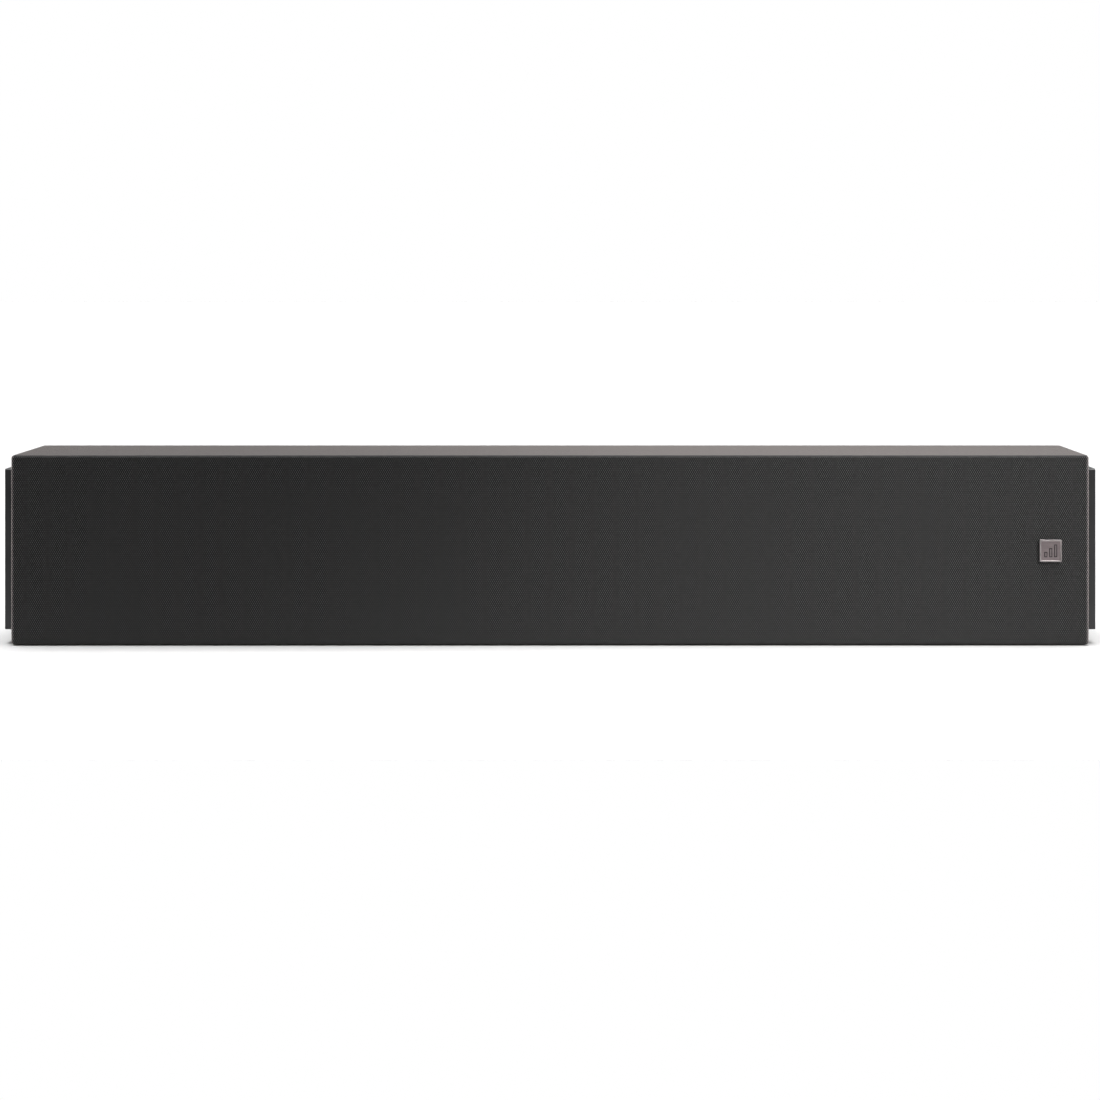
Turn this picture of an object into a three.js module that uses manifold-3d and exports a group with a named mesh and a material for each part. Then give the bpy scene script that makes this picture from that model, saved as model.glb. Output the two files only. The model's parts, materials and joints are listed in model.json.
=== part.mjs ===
// A fabric-wrapped three-channel soundbar, as an assembly of its separate pieces.
//
// Units are millimetres. +X is to the right as the listener sees the bar, +Y points to the back,
// towards the wall, and +Z is up. The origin is on the surface that the bar stands on, under the
// middle of the bar.
//
// From front to back: cloth sleeve, grille frame, baffle with its seven drivers, enclosure, boards,
// rear cover.

import * as THREE from 'three';
import { mergeVertices } from 'three/addons/utils/BufferGeometryUtils.js';
import Module from 'manifold-3d';

const wasm = await Module();
wasm.setup();

// Driving dimensions.

const bodyWidth = 815; // cloth to cloth
const bodyHeight = 143;
const bodyDepth = 112;
const edgeRadius = 3; // how tightly the cloth turns over the frame
const clothThickness = 1;
const fitGap = 0.3; // between pieces that touch
const coverMargin = 11; // border of cloth that shows around the end caps and the rear cover
const clothTuck = 5; // how far the cloth runs on under them
const capProud = 7;
const rearProud = 3.3;
const footProud = 1;
const wall = 4;
const badgeSize = 17.5;
const badgeProud = 2.5;
const badgeFromEnd = 29; // centre of the badge, from the cloth's right end

const grilleDepth = 8;
const baffleThickness = 6;
const flangeThickness = 3;
const woofer = { radius: 52, coneRadius: 35.5, segments: 16 };
const tweeter = { radius: 30, domeRadius: 12.9, segments: 14 };
const wooferX = { left: -312, centre_left: -88, centre_right: 88, right: 312 };
const tweeterX = { left: -226, centre: 0, right: 226 };
const partitionX = 172;
const partitionThickness = 3;

// Planes worked out from them.

const halfWidth = bodyWidth / 2;
const bottomZ = footProud;
const topZ = bottomZ + bodyHeight;
const midZ = (bottomZ + topZ) / 2;
const frontY = -bodyDepth / 2;
const backY = bodyDepth / 2;

const skin = clothThickness + fitGap; // from the cloth's outside to what it is stretched over
const coreX = halfWidth - skin;
const coreBottom = bottomZ + skin;
const coreTop = topZ - skin;
const coreFront = frontY + skin;
const coreBack = backY - skin;
const coreRadius = edgeRadius - skin;

const grilleBack = coreFront + grilleDepth;
const baffleFront = grilleBack + fitGap;
const baffleBack = baffleFront + baffleThickness;
const shellFront = baffleBack + fitGap;

const coverOuter = backY + rearProud;
const coverInner = backY + fitGap;
const coverX = halfWidth - coverMargin;
const coverBottom = bottomZ + coverMargin;
const coverTop = topZ - coverMargin;
const tuck = coverMargin + clothTuck; // from the cloth's outer edge to its hem
const rimWidth = 9.5; // the enclosure's rear flange, inside the cloth's hem

// Materials.

const finish = (color, roughness, metalness = 0) =>
  new THREE.MeshStandardMaterial({ color, roughness, metalness });

const materials = {
  cloth: finish(0x3c3c3d, 0.95),
  caseBlack: finish(0x1b1b1c, 0.6),
  capBlack: finish(0x2a2a2b, 0.4),
  badgeMetal: finish(0x8a8384, 0.35, 0.8),
  frameBlack: finish(0x232324, 0.7),
  baffleBlack: finish(0x202021, 0.75),
  foam: finish(0x141414, 0.95),
  rubber: finish(0x161616, 0.85),
  zincSteel: finish(0x9a9c9e, 0.35, 0.9),
  blackAnodised: finish(0x1d1e20, 0.45, 0.7),
  basketSteel: finish(0x2b2c2e, 0.5, 0.6),
  motorSteel: finish(0x4a4b4d, 0.4, 0.8),
  cone: finish(0x26272a, 0.6),
  spiderCloth: finish(0xb08a4a, 0.9),
  domeMetal: finish(0xc2c4c6, 0.25, 0.9),
  boardGreen: finish(0x16402a, 0.5),
  laminatedSteel: finish(0x5d6064, 0.5, 0.7),
  socketBlack: finish(0x101010, 0.35),
  socketMetal: finish(0xb4b6b8, 0.3, 0.9),
  button: finish(0x2f2f31, 0.5),
};

// Solids.

// A closed geometry as a solid that can be cut and joined.
function solid(geometry) {
  const bare = geometry.clone();
  bare.deleteAttribute('normal');
  bare.deleteAttribute('uv');
  const merged = mergeVertices(bare, 1e-4);
  const vertProperties = merged.attributes.position.array;
  const triVerts = new Uint32Array(merged.index.array);
  return new wasm.Manifold(new wasm.Mesh({ numProp: 3, vertProperties, triVerts }));
}

function geometryOf(made) {
  const { vertProperties, triVerts } = made.getMesh();
  const geometry = new THREE.BufferGeometry();
  geometry.setAttribute('position', new THREE.BufferAttribute(vertProperties, 3));
  geometry.setIndex(new THREE.BufferAttribute(triVerts, 1));
  geometry.computeVertexNormals();
  return geometry;
}

function mesh(name, made, material) {
  const made3d = new THREE.Mesh(geometryOf(made), material);
  made3d.name = name;
  return made3d;
}

const joined = (pieces) => pieces.reduce((whole, piece) => whole.add(piece));
const without = (whole, cuts) => cuts.reduce((left, cut) => left.subtract(cut), whole);

// A block between two planes on each axis.
function block([x0, x1], [y0, y1], [z0, z1]) {
  const geometry = new THREE.BoxGeometry(x1 - x0, y1 - y0, z1 - z0);
  geometry.translate((x0 + x1) / 2, (y0 + y1) / 2, (z0 + z1) / 2);
  return solid(geometry);
}

function roundedRectangle(width, height, radius) {
  const [w, h] = [width / 2, height / 2];
  const shape = new THREE.Shape();
  shape.moveTo(-w + radius, -h);
  shape.lineTo(w - radius, -h);
  shape.absarc(w - radius, -h + radius, radius, -Math.PI / 2, 0);
  shape.lineTo(w, h - radius);
  shape.absarc(w - radius, h - radius, radius, 0, Math.PI / 2);
  shape.lineTo(-w + radius, h);
  shape.absarc(-w + radius, h - radius, radius, Math.PI / 2, Math.PI);
  shape.lineTo(-w, -h + radius);
  shape.absarc(-w + radius, -h + radius, radius, Math.PI, Math.PI * 1.5);
  return shape;
}

// Turns a shape drawn on (x, y) and drawn out along z so that it faces along a row axis.
const facing = {
  x: new THREE.Matrix4().makeBasis(
    new THREE.Vector3(0, 1, 0), new THREE.Vector3(0, 0, 1), new THREE.Vector3(1, 0, 0)),
  y: new THREE.Matrix4().makeBasis(
    new THREE.Vector3(-1, 0, 0), new THREE.Vector3(0, 0, 1), new THREE.Vector3(0, 1, 0)),
};

// A block with round corners as seen along one axis ('x' or 'y'). With an edge, its long edges are
// rounded off too.
function roundedBlock(axis, [x0, x1], [y0, y1], [z0, z1], { corner, edge = 0, steps = 2 }) {
  const size = { x: x1 - x0, y: y1 - y0, z: z1 - z0 };
  const across = axis === 'x' ? size.y : size.x;
  const depth = size[axis] - 2 * edge;
  const geometry = new THREE.ExtrudeGeometry(roundedRectangle(across, size.z, corner), {
    depth,
    curveSegments: steps,
    bevelEnabled: edge > 0,
    bevelThickness: edge,
    bevelSize: edge,
    bevelOffset: -edge,
    bevelSegments: steps,
  });
  geometry.translate(0, 0, -depth / 2);
  geometry.applyMatrix4(facing[axis]);
  geometry.translate((x0 + x1) / 2, (y0 + y1) / 2, (z0 + z1) / 2);
  return solid(geometry);
}

// A round bar along Y.
function barY(x, z, radius, [y0, y1], segments = 16) {
  const geometry = new THREE.CylinderGeometry(radius, radius, y1 - y0, segments);
  geometry.translate(x, (y0 + y1) / 2, z);
  return solid(geometry);
}

// A round bar along Z.
function barZ(x, y, radius, [z0, z1], segments = 20) {
  const geometry = new THREE.CylinderGeometry(radius, radius, z1 - z0, segments);
  geometry.rotateX(Math.PI / 2);
  geometry.translate(x, y, (z0 + z1) / 2);
  return solid(geometry);
}

// A round bar along X.
function barX(y, z, radius, [x0, x1], segments = 12) {
  const geometry = new THREE.CylinderGeometry(radius, radius, x1 - x0, segments);
  geometry.rotateZ(Math.PI / 2);
  geometry.translate((x0 + x1) / 2, y, z);
  return solid(geometry);
}

// A profile of [radius, height] points turned around the Y axis. It starts and ends on the axis,
// or closes on itself.
function turned(profile, segments) {
  const points = profile.map(([radius, height]) => new THREE.Vector2(radius, height));
  if (THREE.ShapeUtils.area(points) < 0) points.reverse();
  if (points[0].x > 0) points.push(points[0].clone());
  return solid(new THREE.LatheGeometry(points, segments));
}

// Points on an arc in a profile, from one angle to another, in degrees.
function arcPoints([centreRadius, centreHeight], radius, from, to, steps) {
  return Array.from({ length: steps + 1 }, (_, i) => {
    const angle = THREE.MathUtils.degToRad(from + ((to - from) * i) / steps);
    return [centreRadius + radius * Math.cos(angle), centreHeight + radius * Math.sin(angle)];
  });
}

const bothSides = (list) => list.flatMap((x) => [-x, x]);

// Feet.

const footRadius = 11;
const footX = halfWidth - 75;
const footY = { front: frontY + 24, rear: backY - 24 };

function feet() {
  return Object.entries(footY).flatMap(([row, y]) =>
    Object.entries({ left: -footX, right: footX }).map(([side, x]) => {
      const pad = barZ(x, y, footRadius, [0, coreBottom - fitGap], 24);
      return mesh(`${row}_${side}_foot`, pad, materials.rubber);
    }));
}

// Cloth, grille frame and badge.

const badgeX = halfWidth - badgeFromEnd;
const badgePostRadius = 2;
const badgePostBack = coreFront + 5;
const badgeHole = () => barY(badgeX, midZ, badgePostRadius + fitGap, [frontY - 1, badgePostBack + 1]);

// One sleeve of knitted cloth over the front, top, bottom and ends. Its hems lie under the caps
// and the cover.
function grilleCloth() {
  const outside = roundedBlock('y', [-halfWidth, halfWidth], [frontY, backY], [bottomZ, topZ],
    { corner: edgeRadius + 0.5, edge: edgeRadius });
  const t = clothThickness;
  const inside = roundedBlock('y', [-halfWidth + t, halfWidth - t], [frontY + t, backY - t],
    [bottomZ + t, topZ - t], { corner: edgeRadius + 0.5 - t, edge: edgeRadius - t });
  const endOpening = block([-halfWidth - 1, halfWidth + 1], [frontY + tuck, backY - tuck],
    [bottomZ + tuck, topZ - tuck]);
  const backOpening = block([-halfWidth + tuck, halfWidth - tuck], [0, backY + 1],
    [bottomZ + tuck, topZ - tuck]);
  const footHole = (x, y) => barZ(x, y, footRadius + fitGap, [bottomZ - 1, bottomZ + 2 * t], 24);
  const footHoles = bothSides([footX]).flatMap((x) => Object.values(footY).map((y) => footHole(x, y)));
  const made = without(outside, [inside, endOpening, backOpening, badgeHole(), ...footHoles]);
  return mesh('grille_cloth', made, materials.cloth);
}

// The frame that holds the cloth flat and clear of the drivers.
function grilleFrame() {
  const slab = roundedBlock('y', [-coreX, coreX], [coreFront, grilleBack + coreRadius],
    [coreBottom, coreTop], { corner: coreRadius + 0.5, edge: coreRadius });
  const behind = block([-halfWidth, halfWidth], [grilleBack, grilleBack + 10], [0, topZ]);
  const through = [coreFront - 1, grilleBack + 1];
  const wooferRings = Object.values(wooferX).map((x) =>
    barY(x, midZ, woofer.radius - 3.5, through, 20));
  const tweeterRings = Object.values(tweeterX).map((x) =>
    barY(x, midZ, tweeter.radius - 2.5, through, 16));
  const [windowBottom, windowTop] = [coreBottom + 18, coreTop - 18];
  const window = (x0, x1, z0, z1) =>
    roundedBlock('y', [x0, x1], through, [z0, z1], { corner: 4 });
  const windows = [-1, 1].flatMap((side) => {
    const sorted = (a, b) => (side > 0 ? [a, b] : [-b, -a]);
    return [
      window(...sorted(146, 188), windowBottom, windowTop),
      window(...sorted(369, 395), windowBottom, midZ - 15),
      window(...sorted(369, 395), midZ + 15, windowTop),
    ];
  });
  const made = without(slab, [behind, ...wooferRings, ...tweeterRings, ...windows, badgeHole()]);
  return mesh('grille_frame', made, materials.frameBlack);
}

// A square metal plate on a post that goes through the cloth into the grille frame.
function frontBadge() {
  const half = badgeSize / 2;
  const plate = roundedBlock('y', [badgeX - half, badgeX + half],
    [frontY - badgeProud, frontY - fitGap], [midZ - half, midZ + half],
    { corner: 0.8, edge: 0.4, steps: 1 });
  const post = barY(badgeX, midZ, badgePostRadius, [frontY - 1, badgePostBack]);
  return mesh('front_badge', plate.add(post), materials.badgeMetal);
}

// Baffle and enclosure.

function frontBaffle() {
  const slab = roundedBlock('y', [-coreX, coreX], [baffleFront, baffleBack], [coreBottom, coreTop],
    { corner: coreRadius });
  const seat = (x, driver) => barY(x, midZ, driver.radius + fitGap,
    [baffleFront - 1, baffleFront + flangeThickness + fitGap], driver.segments);
  const hole = (x, radius, driver) =>
    barY(x, midZ, radius, [baffleFront, baffleBack + 1], driver.segments);
  const cuts = [
    ...Object.values(wooferX).flatMap((x) => [seat(x, woofer), hole(x, 47, woofer)]),
    ...Object.values(tweeterX).flatMap((x) => [seat(x, tweeter), hole(x, 22.6, tweeter)]),
  ];
  return mesh('front_baffle', without(slab, cuts), materials.baffleBlack);
}

const capPegs = bothSides([28]).flatMap((y) => bothSides([38]).map((z) => [y, midZ + z]));
const capPegRadius = 3;
const capPegLength = 9;
const shellRim = tuck + rimWidth; // from the cloth's outside to the enclosure's rear opening

// The sealed box: four walls, a rear flange that the cover closes, and two walls between the channels.
function enclosureShell() {
  const outside = roundedBlock('y', [-coreX, coreX], [shellFront - 5, coreBack], [coreBottom, coreTop],
    { corner: coreRadius + 0.5, edge: coreRadius });
  const infront = block([-halfWidth, halfWidth], [shellFront - 10, shellFront], [0, topZ]);
  const high = [coreBottom + wall, coreTop - wall];
  const deep = [shellFront - 10, coreBack - wall];
  const half = partitionThickness / 2;
  const chambers = [
    block([-coreX + wall, -partitionX - half], deep, high),
    block([-partitionX + half, partitionX - half], deep, high),
    block([partitionX + half, coreX - wall], deep, high),
  ];
  const rearOpening = block([-halfWidth + shellRim, halfWidth - shellRim],
    [coreBack - wall - 1, backY], [bottomZ + shellRim, topZ - shellRim]);
  const pegHoles = capPegs.flatMap(([y, z]) =>
    bothSides([coreX]).map((x) => barX(y, z, capPegRadius + fitGap, [x - wall - 1, x + wall + 1])));
  const made = without(outside, [infront, ...chambers, rearOpening, ...pegHoles]);
  return mesh('enclosure_shell', made, materials.caseBlack);
}

// A plate that covers the cloth's hem at one end, with pegs that snap into the enclosure.
function endCap(name, side) {
  const along = (a, b) => (side > 0 ? [a, b] : [-b, -a]);
  const plate = roundedBlock('x', along(halfWidth + fitGap, halfWidth + capProud),
    [frontY + coverMargin, backY - coverMargin], [coverBottom, coverTop],
    { corner: 1.5, edge: 0.6, steps: 2 });
  const inset = tuck + 0.5;
  const spigot = block(along(coreX + fitGap, halfWidth + 2), [frontY + inset, backY - inset],
    [bottomZ + inset, topZ - inset]);
  const pegs = capPegs.map(([y, z]) =>
    barX(y, z, capPegRadius, along(coreX - capPegLength, halfWidth)));
  return mesh(name, joined([plate, spigot, ...pegs]), materials.capBlack);
}

// Rear cover and what is set in it.

const tray = { x: [-108, 108], z: [28, 113] };
const bay = { x: [-104, 104], z: [34, 84], depth: 16, wall: 2.5 };
const bayFloor = coverOuter - bay.depth;
const bayInner = bayFloor - bay.wall;
const sinkWell = { x: [-98.5, 98.5], z: [92, 107], wall: 2.5 };
const sinkBaseTop = coverInner - 5;
const sinkFin = { thickness: 2.2, pitch: 5.9, count: 33 };
const sinkRail = { x: [-10, 90], z: [94, 105] }; // stands on the amplifier chips
const hangerX = 320;
const hangerZ = 96;
const hanger = { width: 36, height: 46, thickness: 1.5, wall: 1.2 };
const hangerCup = { width: 14, height: 28, depth: 12 }; // inside
const keyhole = { head: 5, shank: 2.4, below: 6, above: 8 }; // radii, and centres from the plate's middle
const buttonX = { source: 214, volume_down: 232, volume_up: 250, power: 268 };
const buttonZ = 59;
const button = { radius: 5, flange: 6.4, travel: 0.8, sunk: 0.3 };
const buttonPanel = { x: [203, 279], z: [buttonZ - 10, buttonZ + 10], depth: 1.5 };
const screwInset = (tuck + shellRim) / 2; // from the cloth's outside, in the middle of the rear flange
const screwSeat = { radius: 3.7, depth: 1.8, sides: 10, columns: [125, 255, halfWidth - screwInset] };

// Grows a range by an amount at both ends.
const grown = ([a, b], by) => [a - by, b + by];

// The block of a hanger's plate or cup. Its middle is over the keyhole.
const overHanger = (x, width, height, deep, by = 0) => block(
  grown([x - width / 2, x + width / 2], by), deep,
  grown([hangerZ - height / 2, hangerZ + height / 2], by));

// A post from the cover's inside to the boards, at [x, z].
const boardPost = (radius) => ([x, z]) =>
  barY(x, z, radius, [boardBack + fitGap, coverInner + 1], 8);

function rearCover() {
  const plate = roundedBlock('y', [-coverX, coverX], [coverInner, coverOuter], [coverBottom, coverTop],
    { corner: 4 });
  const boardPosts = [[-160, 31], [-160, 114], [160, 31], [160, 114]].map(boardPost(3.4));
  const controlPosts = [205, 277].map((x) =>
    barY(x, buttonZ, 2, [controlBoardBack + fitGap, coverInner + 1], 8));
  const through = [coverInner - 1, coverOuter + 1];
  const trayHole = roundedBlock('y', grown(tray.x, fitGap), through, grown(tray.z, fitGap),
    { corner: 3 });
  const cupWall = hanger.wall + fitGap;
  const hangerCuts = bothSides([hangerX]).flatMap((x) => [
    overHanger(x, hanger.width, hanger.height,
      [coverOuter - hanger.thickness - fitGap, coverOuter + 1], fitGap),
    overHanger(x, hangerCup.width, hangerCup.height, through, cupWall),
  ]);
  const buttonSeat = roundedBlock('y', buttonPanel.x, [coverOuter - buttonPanel.depth, coverOuter + 1],
    buttonPanel.z, { corner: 4 });
  const buttonHoles = Object.values(buttonX).map((x) =>
    barY(x, buttonZ, button.radius + fitGap, through, 16));
  const screwSeats = bothSides(screwSeat.columns).flatMap((x) =>
    [bottomZ + screwInset, topZ - screwInset].map((z) =>
      barY(x, z, screwSeat.radius, [coverOuter - screwSeat.depth, coverOuter + 1], screwSeat.sides)));
  const made = without(joined([plate, ...boardPosts, ...controlPosts]),
    [trayHole, ...hangerCuts, buttonSeat, ...buttonHoles, ...screwSeats]);
  return mesh('rear_cover', made, materials.caseBlack);
}

// One moulding in the middle of the cover: the recessed bay for the sockets, and the well for the
// heat sink.
function connectionTray() {
  const plate = roundedBlock('y', tray.x, [coverInner, coverOuter], tray.z, { corner: 3 });
  const bayBox = block(grown(bay.x, bay.wall), [bayInner, coverInner + 1], grown(bay.z, bay.wall));
  const wellBox = block(grown(sinkWell.x, sinkWell.wall), [sinkBaseTop + fitGap, coverInner + 1],
    grown(sinkWell.z, sinkWell.wall));
  const posts = [[-50, 31], [50, 31], [-50, 86.5], [50, 86.5]].map(boardPost(1.8));
  const bayHollow = block(bay.x, [bayFloor, coverOuter + 1], bay.z);
  const wellHollow = block(sinkWell.x, [0, coverOuter + 1], sinkWell.z);
  const socketHoles = Object.values(sockets).map(({ x, width, height }) =>
    block(grown([x - width / 2, x + width / 2], fitGap), [bayInner - 1, bayFloor + 1],
      grown([socketZ - height / 2, socketZ + height / 2], fitGap)));
  const made = without(joined([plate, bayBox, wellBox, ...posts]),
    [bayHollow, wellHollow, ...socketHoles]);
  return mesh('connection_tray', made, materials.caseBlack);
}

// Foam between the enclosure's rear flange and the cover.
function rearGasket() {
  const inset = tuck + 0.5;
  const ring = (by, deep) => block([-halfWidth + by, halfWidth - by], deep, [bottomZ + by, topZ - by]);
  const deep = [coreBack + fitGap, coverInner - fitGap];
  const made = ring(inset, deep).subtract(ring(shellRim - 1, grown(deep, 1)));
  return mesh('rear_gasket', made, materials.foam);
}

// Extruded heat sink: a base behind the cover, and fins that stand in the cover's well.
function rearHeatSink() {
  const base = block(grown(sinkWell.x, sinkWell.wall), [sinkBaseTop - 3, sinkBaseTop],
    grown(sinkWell.z, sinkWell.wall));
  const first = -((sinkFin.count - 1) * sinkFin.pitch) / 2;
  const fins = Array.from({ length: sinkFin.count }, (_, i) => {
    const x = first + i * sinkFin.pitch;
    return block([x - sinkFin.thickness / 2, x + sinkFin.thickness / 2],
      [sinkBaseTop - 1, coverOuter - 0.5], grown(sinkWell.z, -fitGap));
  });
  const rail = block(sinkRail.x, [boardBack + chipHeight + fitGap, sinkBaseTop - 2], sinkRail.z);
  return mesh('rear_heat_sink', joined([base, rail, ...fins]), materials.blackAnodised);
}

// Pressed steel hanger: the wall screw's head goes in at the round part, and its shank up the slot,
// over the cup.
function wallHanger(name, x) {
  const back = coverOuter - hangerCup.depth;
  const plateBack = coverOuter - hanger.thickness;
  const { width, height } = hangerCup;
  const plate = overHanger(x, hanger.width, hanger.height, [plateBack, coverOuter]);
  const cup = overHanger(x, width, height, [back - hanger.wall, coverOuter - 1], hanger.wall);
  const hollow = overHanger(x, width, height, [back, plateBack]);
  const through = [back + 1, coverOuter + 1];
  const [headZ, slotTopZ] = [hangerZ - keyhole.below, hangerZ + keyhole.above];
  const headHole = barY(x, headZ, keyhole.head, through, 20);
  const slot = block([x - keyhole.shank, x + keyhole.shank], through, [headZ, slotTopZ]);
  const slotEnd = barY(x, slotTopZ, keyhole.shank, through, 12);
  return mesh(name, without(plate.add(cup), [hollow, headHole, slot, slotEnd]), materials.zincSteel);
}

// Buttons.

function pushButton(name, x) {
  const cap = barY(x, buttonZ, button.radius, [coverInner - 1, coverOuter - button.sunk], 16);
  const flange = barY(x, buttonZ, button.flange, [coverInner - 1.5, coverInner - fitGap], 16);
  const stem = barY(x, buttonZ, 1.5, [switchTop + button.travel + 0.2, coverInner - 1], 10);
  return mesh(`${name}_button`, joined([cap, flange, stem]), materials.button);
}

// Boards.

const boardThickness = 1.6;
const chipHeight = 2.5;
const boardBack = bayInner - 14; // the boards' rear faces, which carry the sockets
const boardFront = boardBack - boardThickness;
const boardZ = [26, 119];
const powerBoardX = [-166, -44];
const amplifierBoardX = [-38, 166];
const controlBoardBack = coverInner - 9;
const switchTop = controlBoardBack + 4.5;

// A bare board with what is soldered flat on it.
function amplifierBoard() {
  const [x0, x1] = amplifierBoardX;
  const board = block([x0, x1], [boardFront, boardBack], boardZ);
  const chips = [0, 40, 80].map((x) =>
    block([x - 9, x + 9], [boardBack - 0.5, boardBack + chipHeight], [92, 107]));
  const chokes = [-10, 20, 50, 80, 110, 140].map((x) =>
    block([x - 6, x + 6], [boardFront - 8, boardFront + 0.5], [60, 72]));
  const smoothing = [-14, 8, 30].map((x) => barY(x, 40, 6, [boardFront - 14, boardFront + 0.5], 12));
  const radio = block([120, 145], [boardFront - 3, boardFront + 0.5], [32, 50]);
  return mesh('amplifier_board', joined([board, ...chips, ...chokes, ...smoothing, radio]),
    materials.boardGreen);
}

function powerBoard() {
  const board = block(powerBoardX, [boardFront, boardBack], boardZ);
  const bulk = barY(-150, 48, 9, [boardFront - 22, boardFront + 0.5], 16);
  const filter = block([-74, -52], [boardFront - 14, boardFront + 0.5], [36, 58]);
  const rectifier = block([-80, -60], [boardFront - 12, boardFront + 0.5], [84, 89]);
  return mesh('power_board', joined([board, bulk, filter, rectifier]), materials.boardGreen);
}

// Ferrite transformer of the power supply, standing on the power board.
function powerTransformer() {
  const near = boardFront - fitGap;
  const core = block([-164, -126], [near - 24, near], [76, 108]);
  const windowSides = bothSides([13]).map((offset) =>
    block([-145 + offset - 4, -145 + offset + 4], [near - 25, near + 1], [82, 102]));
  const winding = block([-151, -139], [near - 26, near - 3], [79, 105]);
  return mesh('power_transformer', without(core, windowSides).add(winding), materials.laminatedSteel);
}

function controlBoard() {
  const [x0, x1] = buttonPanel.x;
  const board = block([x0, x1], [controlBoardBack - boardThickness, controlBoardBack],
    [buttonZ - 9, buttonZ + 9]);
  const switches = Object.values(buttonX).map((x) =>
    block([x - 3, x + 3], [controlBoardBack - 0.5, switchTop], [buttonZ - 3, buttonZ + 3]));
  return mesh('control_board', joined([board, ...switches]), materials.boardGreen);
}

// Sockets.

const socketZ = 59;
const sockets = {
  mains_inlet: { x: -78, width: 26, height: 16 },
  av_socket: { x: -28, width: 15.4, height: 6.4 },
  network_socket: { x: 4, width: 16, height: 13.6 },
  service_socket: { x: 34, width: 14.4, height: 7 },
  sub_out_jack: { x: 66, width: 12, height: 12 },
};
const socketBack = boardBack + fitGap; // where a socket stands on its board
const socketFace = bayFloor + 0.6;

function socketBody({ x, width, height }) {
  return block([x - width / 2, x + width / 2], [socketBack, socketFace],
    [socketZ - height / 2, socketZ + height / 2]);
}

// Two-pin mains inlet: a well with two round ends, and a pin in each.
function mainsInlet() {
  const { x } = sockets.mains_inlet;
  const flange = block([x - 16, x + 16], [bayFloor + fitGap, bayFloor + 1.5],
    [socketZ - 10, socketZ + 10]);
  const floor = socketBack + 2;
  const well = roundedBlock('y', [x - 8.4, x + 8.4], [floor, bayFloor + 3],
    [socketZ - 4.4, socketZ + 4.4], { corner: 4.3, steps: 4 });
  const pins = bothSides([4.3]).map((offset) =>
    barY(x + offset, socketZ, 1.2, [floor - 1, bayFloor - 1], 8));
  const body = socketBody(sockets.mains_inlet).add(flange).subtract(well);
  return mesh('mains_inlet', joined([body, ...pins]), materials.socketBlack);
}

// A shell with a mouth, and a tongue that carries the contacts.
function tongueSocket(name, place, [mouthWidth, mouthHeight], tongue) {
  const { x } = place;
  const floor = socketBack + 1.5;
  const mouth = block([x - mouthWidth / 2, x + mouthWidth / 2], [floor, socketFace + 1],
    [socketZ - mouthHeight / 2, socketZ + mouthHeight / 2]);
  const blade = block([x - tongue.width / 2, x + tongue.width / 2], [floor - 1, socketFace - 1.5],
    [socketZ + tongue.offset - tongue.thickness / 2, socketZ + tongue.offset + tongue.thickness / 2]);
  return mesh(name, socketBody(place).subtract(mouth).add(blade), materials.socketMetal);
}

// Eight-way network socket: a stepped mouth with room for the plug's latch.
function networkSocket() {
  const place = sockets.network_socket;
  const { x } = place;
  const deep = [socketBack + 1.5, socketFace + 1];
  const mouth = block([x - 5.9, x + 5.9], deep, [socketZ - 5, socketZ + 3.4]);
  const latch = block([x - 3, x + 3], deep, [socketZ + 3, socketZ + 5.4]);
  return mesh('network_socket', without(socketBody(place), [mouth, latch]), materials.socketMetal);
}

// Phono jack: a barrel that stands in the bay, with a hollow contact in the middle.
function subOutJack() {
  const place = sockets.sub_out_jack;
  const { x } = place;
  const barrel = barY(x, socketZ, 4.15, [socketFace - 1, socketFace + 8], 20);
  const bore = barY(x, socketZ, 1.7, [socketFace, socketFace + 9], 10);
  return mesh('sub_out_jack', socketBody(place).add(barrel).subtract(bore), materials.socketMetal);
}

// Drivers.

// Each driver is drawn around its own axis, with +Y to the listener and 0 at the baffle's front face.
function driverGroup(x, pieces) {
  const group = new THREE.Group();
  group.add(...pieces);
  group.rotation.x = Math.PI;
  group.position.set(x, baffleFront, midZ);
  return group;
}

const motorTop = -28.3; // the motor's front face, below the flange's
const coilRadius = 12.5;
const coilOuter = 13.1;

function basket(name) {
  const profile = [
    [43.3, 0], [woofer.radius, 0], [woofer.radius, -flangeThickness], [46.5, -flangeThickness],
    [33, -23], [33, motorTop + fitGap], [16, motorTop + fitGap], [16, -26.5],
    [28, -26.5], [28, -23.3], [31, -23.3], [43.3, -4.5],
  ];
  const windowCount = 4;
  const windows = Array.from({ length: windowCount }, (_, i) => {
    const geometry = new THREE.BoxGeometry(32, 13, 24);
    geometry.translate(46, -13.5, 0);
    geometry.rotateY(((i + 0.5) * 2 * Math.PI) / windowCount);
    return solid(geometry);
  });
  const made = without(turned(profile, woofer.segments), windows);
  return mesh(`${name}_basket`, made, materials.basketSteel);
}

// Ring magnet between two steel plates, with the pole piece in the middle and the coil's gap around it.
function motor(name) {
  const gapOuter = 13.8;
  const profile = [
    [0, motorTop], [12, motorTop], [12, -42.3], [18, -42.3], [18, -32.3], [gapOuter, -32.3],
    [gapOuter, motorTop], [31, motorTop], [31, -32.3], [35, -32.3], [35, -44.3], [30, -44.3],
    [30, -48.3], [0, -48.3],
  ];
  return mesh(`${name}_motor`, turned(profile, woofer.segments), materials.motorSteel);
}

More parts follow.
